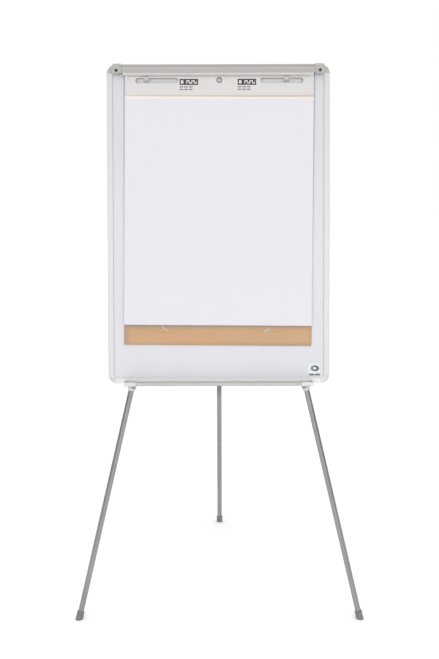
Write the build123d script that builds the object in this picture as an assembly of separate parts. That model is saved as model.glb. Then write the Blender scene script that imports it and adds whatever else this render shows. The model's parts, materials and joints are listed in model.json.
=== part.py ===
from build123d import *
from math import cos, radians, sin, tan
import os

# Flipchart easel: a leaning whiteboard on a telescopic tripod, with a paper pad, a sprung clamp bar,
# two sliding pad hooks and a pen tray.  Millimetres, +Z up, board face towards -Y.
#
# Everything fixed to the board is modelled in the board's own frame and then leaned back:
#   x to the right, y = 0 on the front of the frame and growing to the back, z = 0 at the bottom edge.
# Each leg is modelled in its own frame: origin on its pivot, running down -Z.

os.makedirs("parts", exist_ok=True)

# ---------------------------------------------------------------- driving dimensions
BOARD_W, BOARD_H = 700.0, 1000.0
LEAN = 10.0                        # board leans back, degrees
BOARD_Z = 760.0                    # height of the board's bottom edge
BOARD_Y = -262.7                   # centres the whole footprint on the origin

FRAME_FACE, FRAME_DEPTH = 18.5, 18.0
FRAME_WALL = 1.6
CAP_R = 26.0                       # corner cap: outer radius, and its length along each side
CAP_PROUD = 0.6
ARC_R, ARC_W, ARC_DEPTH = 19.0, 4.5, 1.2  # curved grooves in the two bottom caps
GROOVE_FROM, GROOVE_TO = 2.5, 11.5  # panel groove, front to back
GROOVE_DEPTH = 8.0
SHEET_T = 0.3                      # steel face and back sheet of the panel

PIVOT_Z = 930.0                    # leg pivots above the board's bottom edge
FRONT_PIVOT_X, FRONT_PIVOT_Y = 59.0, 33.0
REAR_PIVOT_Y = 36.0
SPLAY, REAR_SWING = 13.1, 24.4     # degrees, legs open
OUTER_R, INNER_R = 11.0, 9.0
OUTER_WALL = 1.5
INNER_WALL = 1.5
OUTER_TOP, OUTER_END = 10.5, 963.0  # outer tube, above and below the pivot
COLLAR_TOP, COLLAR_END = 957.5, 982.0
COLLAR_R = 13.5
INNER_TOP = 860.0
BUSH_TOP = 846.0
FOOT_R, FOOT_H = 12.0, 28.0
KNOB_R, KNOB_L = 6.5, 9.0
KNOB_DROP = 966.5                  # thumb screw axis below the pivot
THREAD_R = 2.5
BOLT_R = 3.0                       # pivot bolts and rear pivot pin
RUN_GAP = 0.05                     # radial clearance of anything that slides or turns

HEAD_T = 2.5                       # tripod head plate, on the back of the top member
EAR_GAP, EAR_T = 11.8, 2.5         # ears that hold the rear leg: half gap, thickness
NUT_Y = FRONT_PIVOT_Y + OUTER_R + 0.4  # front of the nuts behind the front legs
HEAD_SCREW_X = (-72.0, -28.0, 28.0, 72.0)
HEAD_SCREW_Z = 994.0
STOP_Z, STOP_H = 6.0, 11.0         # leg stops on the back of the bottom member
STOP_PLATE = 1.8
STOP_WALL_Z = 2.6                  # the wall starts above the collar

PAD_W, PAD_X = 592.0, 1.2            # the pad hangs a little to the right of the middle
PAD_TOP, PAD_BOTTOM = 972.0, 120.0
SHEET_BOTTOM = 183.0
HEADER_BOTTOM = 898.0
PAD_BACK, BACKING_T, SHEETS_T, BINDING_T = 1.0, 1.0, 2.5, 0.6
HOLES_X = 3.5                      # middle of the punched holes
SLOT_FROM, SLOT_TO = 130.0, 261.0
SLOT_Z, SLOT_H = 950.3, 13.6
PAD_HOLE_R = 7.0
HOOK_X = {"left": -224.5, "right": 214.5}
HOOK_HALF = 9.0                    # half width of a hook
RAIL_Y, RAIL_WALL = -5.5, 1.2      # hook rail: front face, wall
RAIL_Z0, RAIL_Z1 = 979.0, 990.0
RAIL_HALF, RAIL_LIP = 300.0, 1.0

CLAMP_Y, CLAMP_Z = -7.0, 990.0     # hinge axis of the clamp bar
CLAMP_HALF = 302.5                 # half length of the aluminium bar
CLAMP_END_X = 331.0                # outer end of the end caps
CLAMP_TOP, CLAMP_FOOT = 998.7, 972.6  # top and bottom of the bar
RIB_Z = 985.2                      # raised rib along the bar
GRIP_SHORT = 4.0                   # the soft strip stops this far from the bar's ends
CLAMP_PIN_R = 2.5
BLOCK_FROM, BLOCK_TO = 311.0, 323.0  # pivot block inside the end cap
PIN_FROM, PIN_TO = 303.5, 328.0
SPRING_ROOM = 5.5                  # space beside the block for the torsion spring
RECESS_X, RECESS_Z, RECESS_R = 318.0, 978.5, 5.2
RECESS_Y = -15.2                   # floor of the screw recess
END_SCREW_R, END_SCREW_TIP = 1.5, -8.0

TRAY_HALF = 297.0                  # outer end of the end caps
TRAY_CHEEK = 4.0                   # solid end of a cap, beyond the trough
TRAY_SKIN = 1.4                    # wall of a cap where it wraps the trough
TRAY_DEPTH = 34.0
TRAY_WALL = 1.6
TRAY_BOTTOM, TRAY_LIP_TOP, TRAY_BACK_TOP = -6.0, 4.0, 8.0
TRAY_CAP_L = 37.0
TRAY_ROUND = 3.0                   # front lower corner of the trough
TRAY_SCREW_X = (-240.0, -80.0, 80.0, 240.0)
TRAY_SCREW_Z = 4.6

LABEL = (283.0, 321.0, 22.0, 60.0)  # x and z limits of the printed label
LABEL_T = 0.2

BOARD = Location((0, BOARD_Y, BOARD_Z), (-LEAN, 0, 0))


# ---------------------------------------------------------------- helpers
def save(name, *solids):
    """One node, one STEP file; several solids stay separate pieces."""
    shape = solids[0] if len(solids) == 1 else Compound(children=list(solids))
    export_step(shape, f"parts/{name}.step")


def slab(x0, x1, y0, y1, z0, z1):
    """Box between two corners."""
    centre = ((x0 + x1) / 2, (y0 + y1) / 2, (z0 + z1) / 2)
    return Pos(*centre) * Box(x1 - x0, y1 - y0, z1 - z0)


def rod(radius, start, end):
    """Round bar between two points."""
    start, end = Vector(*start), Vector(*end)
    run = end - start
    return Solid.make_cylinder(radius, run.length, Plane(origin=start, z_dir=run))


def plate(outline, y0, y1):
    """Face drawn in x and z, given thickness from y0 to y1."""
    return Pos(0, y1, 0) * Rot(90, 0, 0) * extrude(outline, y1 - y0)


def along_x(points, half, round_r=0.0, rounded=()):
    """Constant section of (y, z) points, drawn out to -half..half along x; rounded corners get round_r."""
    section = Polyline(*points, close=True)
    bar = Pos(-half, 0, 0) * Rot(0, 90, 0) * Rot(0, 0, 90) * extrude(make_face(section), 2 * half)
    if rounded:
        edges = bar.edges().filter_by(Axis.X)
        chosen = [e for e in edges if (round(e.center().Y, 2), round(e.center().Z, 2)) in rounded]
        bar = fillet(chosen, round_r)
    return bar


def both_sides(shape):
    """A piece and its mirror image across the middle of the board."""
    return [shape, mirror(shape, about=Plane.YZ)]


def screw(x, z, head_y, head_r, head_t, shank_r, tip_y):
    """Pan-head screw along y with a cross recess; the head sits from head_y away from tip_y."""
    out = 1 if head_y > tip_y else -1
    top = head_y + out * head_t
    body = rod(head_r, (x, head_y, z), (x, top, z))
    rims = body.edges().filter_by(GeomType.CIRCLE).sort_by(Axis.Y)
    body = fillet(rims[-1] if out > 0 else rims[0], head_t * 0.45)
    body += rod(shank_r, (x, head_y, z), (x, tip_y, z))
    long, narrow = head_r * 1.1, head_r * 0.25
    for w, h in ((long, narrow), (narrow, long)):
        body -= Pos(x, top, z) * Box(w, head_t, h)
    return body


# ---------------------------------------------------------------- panel and frame
def frame_member(length):
    """Extruded frame profile, outer edge at x = 0, running along z about the origin."""
    half = length / 2
    chamber = FRAME_FACE - GROOVE_DEPTH
    bar = slab(0, chamber, 0, FRAME_DEPTH, -half, half)
    bar += slab(chamber, FRAME_FACE, 0, GROOVE_FROM, -half, half)
    bar += slab(chamber, FRAME_FACE, GROOVE_TO, GROOVE_TO + FRAME_WALL, -half, half)
    outer = bar.edges().filter_by(Axis.Z).group_by(Axis.X)[0]
    bar = fillet(outer, 2.0)
    lip = bar.edges().filter_by(Axis.Z).group_by(Axis.X)[-1].sort_by(Axis.Y)[0]
    bar = fillet(lip, 1.0)
    hollow = slab(FRAME_WALL, chamber - FRAME_WALL, FRAME_WALL, FRAME_DEPTH - FRAME_WALL, -half, half)
    return bar - hollow


def frame_members():
    upright = frame_member(BOARD_H - 2 * CAP_R)
    across = frame_member(BOARD_W - 2 * CAP_R)
    return {
        "frame_left": Pos(-BOARD_W / 2, 0, BOARD_H / 2) * upright,
        "frame_right": Pos(BOARD_W / 2, 0, BOARD_H / 2) * Rot(0, 180, 0) * upright,
        "frame_top": Pos(0, 0, BOARD_H) * Rot(0, 90, 0) * across,
        "frame_bottom": Rot(0, -90, 0) * across,
    }


def corner_cap():
    """Top left corner cap: a quarter round with a window for the panel and two spigots."""
    x_in, z_in = -BOARD_W / 2 + CAP_R, BOARD_H - CAP_R
    quarter = Circle(CAP_R) & Pos(-CAP_R / 2, CAP_R / 2) * Rectangle(CAP_R, CAP_R)
    window = CAP_R - FRAME_FACE
    notch = Pos(-window / 2, window / 2) * Rectangle(window, window)
    outline = Pos(x_in, z_in) * (quarter - notch)
    cap = plate(outline, -CAP_PROUD, FRAME_DEPTH + CAP_PROUD)
    cap = fillet(cap.edges().filter_by(GeomType.CIRCLE), 1.4)
    edge = window + GROOVE_DEPTH
    cap -= slab(x_in - edge, x_in, GROOVE_FROM, GROOVE_TO, z_in, z_in + edge)
    gap, reach = 0.1, 20.0
    near, far = FRAME_WALL + gap, FRAME_FACE - GROOVE_DEPTH - FRAME_WALL - gap
    y0, y1 = FRAME_WALL + gap, FRAME_DEPTH - FRAME_WALL - gap
    cap += slab(-BOARD_W / 2 + near, -BOARD_W / 2 + far, y0, y1, z_in - reach, z_in + 1)
    cap += slab(x_in - 1, x_in + reach, y0, y1, BOARD_H - far, BOARD_H - near)
    return cap


def grooved(cap):
    """The cap with a curved groove in its front, bridged at 45 degrees by a short web."""
    x_in, z_in = -BOARD_W / 2 + CAP_R, BOARD_H - CAP_R
    quarter = Pos(-CAP_R / 2, CAP_R / 2) * Rectangle(CAP_R - 2, CAP_R - 2)
    ring = (Circle(ARC_R + ARC_W / 2) - Circle(ARC_R - ARC_W / 2)) & quarter
    web = Pos(-ARC_R * 0.7, ARC_R * 0.7) * Rot(0, 0, -45) * Rectangle(3.0, 2 * ARC_W)
    return cap - plate(Pos(x_in, z_in) * (ring - web), -CAP_PROUD, ARC_DEPTH - CAP_PROUD)


def panel_layers():
    x = BOARD_W / 2 - FRAME_FACE + GROOVE_DEPTH
    z0, z1 = FRAME_FACE - GROOVE_DEPTH, BOARD_H - FRAME_FACE + GROOVE_DEPTH
    face, back = GROOVE_FROM + SHEET_T, GROOVE_TO - SHEET_T
    return {
        "writing_panel": slab(-x, x, GROOVE_FROM, face, z0, z1),
        "panel_core": slab(-x, x, face, back, z0, z1),
        "back_sheet": slab(-x, x, back, GROOVE_TO, z0, z1),
    }


# ---------------------------------------------------------------- pen tray
def pen_tray():
    """Trough with a tall back flange, a front lip 2.5 thick and two low ribs on its floor."""
    half, floor_z = TRAY_HALF - TRAY_CHEEK, TRAY_BOTTOM + TRAY_WALL
    lip_back = -TRAY_DEPTH + 2.5
    points = [
        (0, TRAY_BOTTOM), (-TRAY_DEPTH, TRAY_BOTTOM), (-TRAY_DEPTH, TRAY_LIP_TOP), (lip_back, TRAY_LIP_TOP),
        (lip_back, floor_z), (-TRAY_WALL, floor_z), (-TRAY_WALL, TRAY_BACK_TOP), (0, TRAY_BACK_TOP),
    ]
    tray = along_x(points, half, TRAY_ROUND, ((-TRAY_DEPTH, TRAY_BOTTOM),))
    lip = [e for e in tray.edges().filter_by(Axis.X) if e.center().Z > 0 and e.center().Y < lip_back + 1]
    tray = fillet(lip, 1.0)
    for y in (-12.0, -22.0):
        tray += slab(-half, half, y - 0.5, y + 0.5, TRAY_BOTTOM + 1, floor_z + 0.8)
    return tray


def tray_end():
    """Right end cap: a solid cheek with a thin skirt wrapped round the end of the trough."""
    y0, top = -TRAY_DEPTH - TRAY_SKIN, TRAY_BACK_TOP + TRAY_SKIN
    cheek_x = TRAY_HALF - TRAY_CHEEK
    block = slab(TRAY_HALF - TRAY_CAP_L, TRAY_HALF, y0, 0, TRAY_BOTTOM - TRAY_SKIN, top)
    block = fillet(block.edges().filter_by(Axis.X).sort_by(Axis.Y)[:2], 5.0)
    rim = block.edges().group_by(Axis.X)[-1].filter_by(lambda e: e.center().Y < -0.5)
    block = fillet(rim, 3.2)
    above_lip = slab(0, cheek_x, y0 - 1, 0.1, TRAY_LIP_TOP + TRAY_SKIN, top + 1)
    trough = slab(0, cheek_x, -TRAY_DEPTH, 0.1, TRAY_BOTTOM, top + 1)
    trough = fillet(trough.edges().filter_by(Axis.X).group_by(Axis.Z)[0].sort_by(Axis.Y)[:1], TRAY_ROUND)
    return block - trough - above_lip


# ---------------------------------------------------------------- hooks and their rail
def hook_rail():
    """Channel open downwards, with a retaining lip along its front wall."""
    wall_y, roof = RAIL_Y + RAIL_WALL, RAIL_Z1 - RAIL_WALL
    lip_y, lip_top = wall_y + RAIL_LIP, RAIL_Z0 + RAIL_LIP
    points = [
        (0, RAIL_Z0), (0, RAIL_Z1), (RAIL_Y, RAIL_Z1), (RAIL_Y, RAIL_Z0), (lip_y, RAIL_Z0),
        (lip_y, lip_top), (wall_y, lip_top), (wall_y, roof), (-RAIL_WALL, roof), (-RAIL_WALL, RAIL_Z0),
    ]
    return along_x(points, RAIL_HALF)


def pad_hook(x):
    """Moulded hook: bead in the rail, arm behind the pad and a rounded tongue through its slot."""
    gap, half = 0.15, HOOK_HALF
    bead_y, bead_top = RAIL_Y + RAIL_WALL + gap, RAIL_Z1 - RAIL_WALL - gap
    bead_foot = RAIL_Z0 + RAIL_LIP + gap
    lip_y, back_y = bead_y + RAIL_LIP, -RAIL_WALL - gap
    arm_front, arm_back = PAD_BACK + 0.2, GROOVE_FROM - gap
    points = [
        (bead_y, bead_top), (back_y, bead_top), (back_y, 977.5), (arm_back, 973.5), (arm_back, 944.0),
        (arm_front, 944.0), (arm_front, 973.0), (lip_y, 976.5), (lip_y, bead_foot), (bead_y, bead_foot),
    ]
    arm = along_x(points, half)
    top, reach = SLOT_Z + SLOT_H / 2 - 0.3, -7.5
    arc = Spline((-half, top), (0, top - 8.0), (half, top), tangents=((0.35, -1), (0.35, 1)))
    tongue = plate(make_face(arc + Line((half, top), (-half, top))), reach, arm_front)
    brow = Polyline((half, top), (half - 2, top + 3.0), (-half + 2, top + 3.0), (-half, top))
    lip = plate(make_face(arc + brow), reach, reach + 1.8)
    return Pos(x, 0, 0) * (arm + tongue + lip)


# ---------------------------------------------------------------- clamp bar
def clamp_bar():
    """Hollow extrusion with one raised rib along its face."""
    points = [
        (-6.0, CLAMP_TOP - 1.7), (-8.0, CLAMP_TOP), (-11.6, CLAMP_TOP - 0.3), (-13.6, CLAMP_TOP - 2.4),
        (-14.6, RIB_Z + 1.6), (-16.2, RIB_Z + 0.6), (-16.2, RIB_Z - 1.0), (-14.6, RIB_Z - 2.2),
        (-14.0, CLAMP_FOOT + 1.6), (-12.6, CLAMP_FOOT), (-6.0, CLAMP_FOOT),
    ]
    bar = along_x(points, CLAMP_HALF)
    return bar - slab(-CLAMP_HALF, CLAMP_HALF, -12.2, -7.6, CLAMP_FOOT + 2.4, CLAMP_TOP - 3.2)


def clamp_grip():
    """Soft strip under the bar: its lower lip reaches back onto the top edge of the pad."""
    lip_back = PAD_BACK - BACKING_T - SHEETS_T - BINDING_T - 0.3
    points = [
        (-12.6, CLAMP_FOOT), (-13.4, CLAMP_FOOT - 2.1), (-11.5, CLAMP_FOOT - 6.0), (-7.0, CLAMP_FOOT - 7.4),
        (lip_back, CLAMP_FOOT - 7.0), (lip_back, CLAMP_FOOT - 2.0), (-6.0, CLAMP_FOOT),
    ]
    return along_x(points, CLAMP_HALF - GRIP_SHORT)


def clamp_end():
    """Right end cap of the clamp: hollow at the back, where it turns on its pivot block."""
    inner, outer = CLAMP_HALF, CLAMP_END_X
    top, foot, front = CLAMP_TOP + 1.8, CLAMP_FOOT - 2.4, -17.6
    points = [
        (-2.6, CLAMP_Z), (-8.0, top), (-14.0, top), (front, top - 3.5), (front, foot + 4.3),
        (-13.5, foot), (-2.6, foot),
    ]
    section = make_face(Polyline(*points, close=True))
    cap = Pos(inner, 0, 0) * Rot(0, 90, 0) * Rot(0, 0, 90) * extrude(section, outer - inner)
    shoulder = slab(outer - 8, outer + 1, -30, 10, top - 8, top + 1)
    cap -= shoulder - rod(8.0, (outer - 8, -30, top - 8), (outer - 8, 10, top - 8))
    rounded = cap.edges().filter_by(Axis.X).filter_by(lambda e: e.center().Y < -12)
    cap = fillet(rounded, 1.4)
    cap -= slab(BLOCK_FROM - SPRING_ROOM, BLOCK_TO + 0.5, -14.6, 0, CLAMP_Z - 8.5, top - 1.7)
    cap -= rod(CLAMP_PIN_R + RUN_GAP, (inner - 1, CLAMP_Y, CLAMP_Z), (PIN_TO + 0.4, CLAMP_Y, CLAMP_Z))
    cap -= rod(RECESS_R, (RECESS_X, -20, RECESS_Z), (RECESS_X, RECESS_Y, RECESS_Z))
    cap -= rod(END_SCREW_R, (RECESS_X, RECESS_Y, RECESS_Z), (RECESS_X, END_SCREW_TIP, RECESS_Z))
    finger = Pos(inner + 6.0, -16.8, foot + 1.3) * Rot(0, 45, 0) * Box(5.0, 4.0, 5.0)
    return cap - finger


def clamp_block():
    """Right pivot block, fixed on the front of the top frame member."""
    block = slab(BLOCK_FROM, BLOCK_TO, -11.5, 0, CLAMP_Z - 8.0, CLAMP_Z + 5.0)
    block = fillet(block.edges().filter_by(Axis.X).sort_by(Axis.Y)[:2], 4.0)
    return block - rod(CLAMP_PIN_R, (0, CLAMP_Y, CLAMP_Z), (BOARD_W, CLAMP_Y, CLAMP_Z))


def clamp_spring():
    """Coil of the right torsion spring round the pin, inside the end cap's inner cheek."""
    wire, turns, pitch = 0.5, 3, 1.3
    coil = Helix(pitch, turns * pitch, CLAMP_PIN_R + wire + 0.3)
    start = Plane(origin=coil @ 0, z_dir=coil % 0)
    turned = sweep(start * Circle(wire), path=coil, is_frenet=True)
    return Pos(BLOCK_FROM - wire - 0.2, CLAMP_Y, CLAMP_Z) * Rot(0, -90, 0) * turned


# ---------------------------------------------------------------- paper pad
def pad_openings(depth_from, depth_to):
    """Two long hanging slots and a round middle hole, cut through the pad's layers."""
    length, middle = SLOT_TO - SLOT_FROM, (SLOT_TO + SLOT_FROM) / 2
    outline = Pos(middle, SLOT_Z) * SlotOverall(length, SLOT_H)
    outline += Pos(-middle, SLOT_Z) * SlotOverall(length, SLOT_H)
    outline += Pos(0, SLOT_Z + 1.5) * Circle(PAD_HOLE_R)
    return plate(Pos(HOLES_X, 0) * outline, depth_from, depth_to)


def pad_layers():
    x0, x1 = PAD_X - PAD_W / 2, PAD_X + PAD_W / 2
    backing_front = PAD_BACK - BACKING_T
    sheets_front = backing_front - SHEETS_T
    binding_front = sheets_front - BINDING_T
    through = pad_openings(binding_front - 1, PAD_BACK + 1)
    slits = Pos(-165.5, 171.0) * Rot(0, 0, -32) * SlotOverall(26, 4)
    slits += Pos(157.0, 169.0) * Rot(0, 0, 28) * SlotOverall(26, 4)
    backing = slab(x0, x1, backing_front, PAD_BACK, PAD_BOTTOM, PAD_TOP)
    return {
        "pad_backing_board": backing - through - plate(slits, backing_front - 1, PAD_BACK + 1),
        "pad_sheets": slab(x0, x1, sheets_front, backing_front, SHEET_BOTTOM, PAD_TOP) - through,
        "pad_binding": slab(x0, x1, binding_front, sheets_front, HEADER_BOTTOM, PAD_TOP) - through,
    }


# ---------------------------------------------------------------- tripod head
def tripod_head():
    """Formed steel plate on the back of the top member, with two ears for the rear leg."""
    outline = Pos(0, 953.5) * RectangleRounded(168, 91, 12)
    head = plate(outline, FRAME_DEPTH, FRAME_DEPTH + HEAD_T)
    ear_face = Pos(31.5, PIVOT_Z) * RectangleRounded(27, 28, 6)
    for side in (-1, 1):
        ear = extrude(ear_face, EAR_T)
        ear = Rot(0, 90, 0) * Rot(0, 0, 90) * ear
        head += Pos(EAR_GAP if side > 0 else -EAR_GAP - EAR_T, 0, 0) * ear
    for x in (-FRONT_PIVOT_X, FRONT_PIVOT_X):
        head += rod(8.0, (x, FRAME_DEPTH, PIVOT_Z), (x, FRONT_PIVOT_Y - OUTER_R - 0.3, PIVOT_Z))
        head -= rod(BOLT_R, (x, 0, PIVOT_Z), (x, 60, PIVOT_Z))
    return head - rod(BOLT_R, (-40, REAR_PIVOT_Y, PIVOT_Z), (40, REAR_PIVOT_Y, PIVOT_Z))


def head_screws():
    return [screw(x, HEAD_SCREW_Z, FRAME_DEPTH + HEAD_T, 3.8, 2.6, 2.0, 12.0) for x in HEAD_SCREW_X]


def front_pivot_bolt():
    """Bolt of the right front leg: flat head in front of the plate, shank through the tube."""
    head = rod(7.0, (FRONT_PIVOT_X, FRAME_DEPTH - 3.0, PIVOT_Z), (FRONT_PIVOT_X, FRAME_DEPTH, PIVOT_Z))
    return head + rod(BOLT_R, (FRONT_PIVOT_X, FRAME_DEPTH, PIVOT_Z), (FRONT_PIVOT_X, NUT_Y + 5.0, PIVOT_Z))


def front_pivot_nut():
    """Domed hexagon nut behind the right front leg."""
    x, dome_y = FRONT_PIVOT_X, NUT_Y + 5.5
    nut = plate(Pos(x, PIVOT_Z) * RegularPolygon(5.6, 6), NUT_Y, dome_y)
    behind = slab(x - 10, x + 10, dome_y, dome_y + 10, PIVOT_Z - 10, PIVOT_Z + 10)
    dome = Pos(x, dome_y, PIVOT_Z) * Sphere(4.4) & behind
    return nut + dome - rod(BOLT_R, (x, NUT_Y, PIVOT_Z), (x, NUT_Y + 5.0, PIVOT_Z))


def rear_pivot_pin():
    end = EAR_GAP + EAR_T
    pin = rod(BOLT_R, (-end - 1.0, REAR_PIVOT_Y, PIVOT_Z), (end + 1.0, REAR_PIVOT_Y, PIVOT_Z))
    for side in (-1, 1):
        pin += rod(5.0, (side * end, REAR_PIVOT_Y, PIVOT_Z), (side * (end + 2.4), REAR_PIVOT_Y, PIVOT_Z))
    return pin


# ---------------------------------------------------------------- leg stops on the bottom member
STOP_LEG_X = FRONT_PIVOT_X + (PIVOT_Z - STOP_Z) * tan(radians(SPLAY))  # open leg's axis at the stop
STOP_SCREW_X = (STOP_LEG_X - 14.0, STOP_LEG_X + 6.0)
STOP_SCREW_R = 1.6


def leg_stop():
    """Right stop: base plate on the frame and a wall that the open leg leans against."""
    foot, top = STOP_Z - STOP_H / 2, STOP_Z + STOP_H / 2
    wall_x = STOP_LEG_X + OUTER_R / cos(radians(SPLAY)) + 0.3
    base = slab(STOP_LEG_X - 20, wall_x + 3, FRAME_DEPTH, FRAME_DEPTH + STOP_PLATE, foot, top)
    wall = slab(0, 2.5, FRAME_DEPTH, FRONT_PIVOT_Y + OUTER_R - 2, -STOP_H, STOP_H)
    wall = Pos(wall_x, 0, STOP_Z) * Rot(0, -SPLAY, 0) * wall
    stop = base + (wall & slab(0, BOARD_W, 0, 100, STOP_WALL_Z, top))
    for x in STOP_SCREW_X:
        stop -= rod(STOP_SCREW_R, (x, 0, STOP_Z), (x, 40, STOP_Z))
    return stop


def stop_screws():
    head_y = FRAME_DEPTH + STOP_PLATE
    right = [screw(x, STOP_Z, head_y, 3.2, 1.6, STOP_SCREW_R, 13.0) for x in STOP_SCREW_X]
    return right + [mirror(s, about=Plane.YZ) for s in right]


# ---------------------------------------------------------------- telescopic leg, in its own frame
def tube(radius, wall, top, end):
    return rod(radius, (0, 0, -end), (0, 0, -top)) - rod(radius - wall, (0, 0, -end), (0, 0, -top))


def cross_hole(along):
    reach = 30.0
    return rod(BOLT_R + RUN_GAP, tuple(-reach * a for a in along), tuple(reach * a for a in along))


def outer_tube(along):
    return tube(OUTER_R, OUTER_WALL, -OUTER_TOP, OUTER_END) - cross_hole(along)


def top_plug(along):
    bore = OUTER_R - OUTER_WALL
    plug = rod(OUTER_R, (0, 0, OUTER_TOP), (0, 0, OUTER_TOP + 2.0))
    plug = fillet(plug.edges().sort_by(Axis.Z)[-1], 0.8)
    plug += rod(bore, (0, 0, -14.0), (0, 0, OUTER_TOP))
    return plug - cross_hole(along)


def collar():
    """Locking collar: grips the outer tube, guides the inner one, boss for the thumb screw."""
    taper, bore, step = COLLAR_R - 2.2, INNER_R + RUN_GAP, -OUTER_END - 0.2
    profile = Polyline(
        (OUTER_R, -COLLAR_TOP), (COLLAR_R - 1, -COLLAR_TOP), (COLLAR_R, -COLLAR_TOP - 1),
        (COLLAR_R, -COLLAR_END + 9), (taper, -COLLAR_END + 1), (taper - 1, -COLLAR_END),
        (bore, -COLLAR_END), (bore, step), (OUTER_R, step), close=True,
    )
    body = revolve(Plane.XZ * make_face(profile), Axis.Z)
    body += rod(5.0, (OUTER_R + 0.5, 0, -KNOB_DROP), (COLLAR_R + 2.0, 0, -KNOB_DROP))
    return body - rod(THREAD_R + RUN_GAP, (INNER_R, 0, -KNOB_DROP), (COLLAR_R + 3, 0, -KNOB_DROP))


def thumb_screw():
    """Fluted knob with a flat wing; its threaded tip bears on the inner tube."""
    x0 = COLLAR_R + 2.3
    knob = rod(KNOB_R, (x0, 0, -KNOB_DROP), (x0 + KNOB_L, 0, -KNOB_DROP))
    knob = fillet(knob.edges().sort_by(Axis.X)[-1], 1.5)
    flute_r, out = 1.8, KNOB_R + 0.8
    for turn in range(0, 360, 45):
        y, z = out * cos(radians(turn)), out * sin(radians(turn)) - KNOB_DROP
        knob -= rod(flute_r, (x0 - 1, y, z), (x0 + KNOB_L + 1, y, z))
    knob -= Pos(x0 + KNOB_L, 0, -KNOB_DROP) * Box(1.2, 1.6, 8.0)
    return knob + rod(THREAD_R, (INNER_R + 0.3, 0, -KNOB_DROP), (x0, 0, -KNOB_DROP))


def inner_tube(length):
    return tube(INNER_R, INNER_WALL, INNER_TOP, length - 6.0)


def guide_bush():
    """Bush at the top of the inner tube: runs in the outer tube, plugged into the inner one."""
    bore = INNER_R - INNER_WALL
    bush = rod(OUTER_R - OUTER_WALL - RUN_GAP, (0, 0, -INNER_TOP), (0, 0, -BUSH_TOP))
    bush += rod(bore, (0, 0, -INNER_TOP - 18.0), (0, 0, -INNER_TOP))
    return bush - rod(5.5, (0, 0, -INNER_TOP - 20), (0, 0, -BUSH_TOP + 1))


def rubber_foot(length):
    """Ferrule with a moulded rib round its top; the sole is cut level with the floor later."""
    top, end = length - FOOT_H, length + 5.0
    body = Solid.make_cone(FOOT_R, FOOT_R - 1.5, end - top, Plane(origin=(0, 0, -end), z_dir=(0, 0, 1)))
    body = fillet(body.edges().sort_by(Axis.Z)[-1], 1.0)
    body += tube(FOOT_R - 0.2, 2.0, top + 5.0, top + 8.0)
    return body - rod(INNER_R, (0, 0, -length + 6.0), (0, 0, -top + 1))


def leg_length(pivot_y, upright):
    """Pivot to floor along a leg; upright is the cosine of its angle to the vertical."""
    pivot_z = BOARD_Z + PIVOT_Z * cos(radians(LEAN)) - pivot_y * sin(radians(LEAN))
    return pivot_z / upright


FLOOR = slab(-2000, 2000, -2000, 2000, -200, 0)
FRONT_LENGTH = leg_length(FRONT_PIVOT_Y, cos(radians(LEAN)) * cos(radians(SPLAY)))
REAR_LENGTH = leg_length(REAR_PIVOT_Y, cos(radians(REAR_SWING - LEAN)))

LEFT_LEG = Location((-FRONT_PIVOT_X, FRONT_PIVOT_Y, PIVOT_Z), (0, SPLAY, 0))
RIGHT_LEG = Location((FRONT_PIVOT_X, FRONT_PIVOT_Y, PIVOT_Z), (0, -SPLAY, 0))
REAR_LEG = Location((0, REAR_PIVOT_Y, PIVOT_Z), (REAR_SWING, 0, 0))

# name: place on the board, length, direction of the pivot bolt, turn of the thumb screw
LEGS = {
    "front_left": (LEFT_LEG, FRONT_LENGTH, (0, 1, 0), -70),
    "front_right": (RIGHT_LEG, FRONT_LENGTH, (0, 1, 0), -110),
    "rear": (REAR_LEG, REAR_LENGTH, (1, 0, 0), 90),
}


def write_leg(name, place, length, pivot_along, knob_turn):
    spot = BOARD * place
    facing = Rot(0, 0, knob_turn)
    save(f"{name}_outer_tube", spot * outer_tube(pivot_along))
    save(f"{name}_top_plug", spot * top_plug(pivot_along))
    save(f"{name}_collar", spot * facing * collar())
    save(f"{name}_thumb_screw", spot * facing * thumb_screw())
    save(f"{name}_inner_tube", spot * inner_tube(length))
    save(f"{name}_guide_bush", spot * guide_bush())
    save(f"{name}_rubber_foot", spot * rubber_foot(length) - FLOOR)


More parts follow.
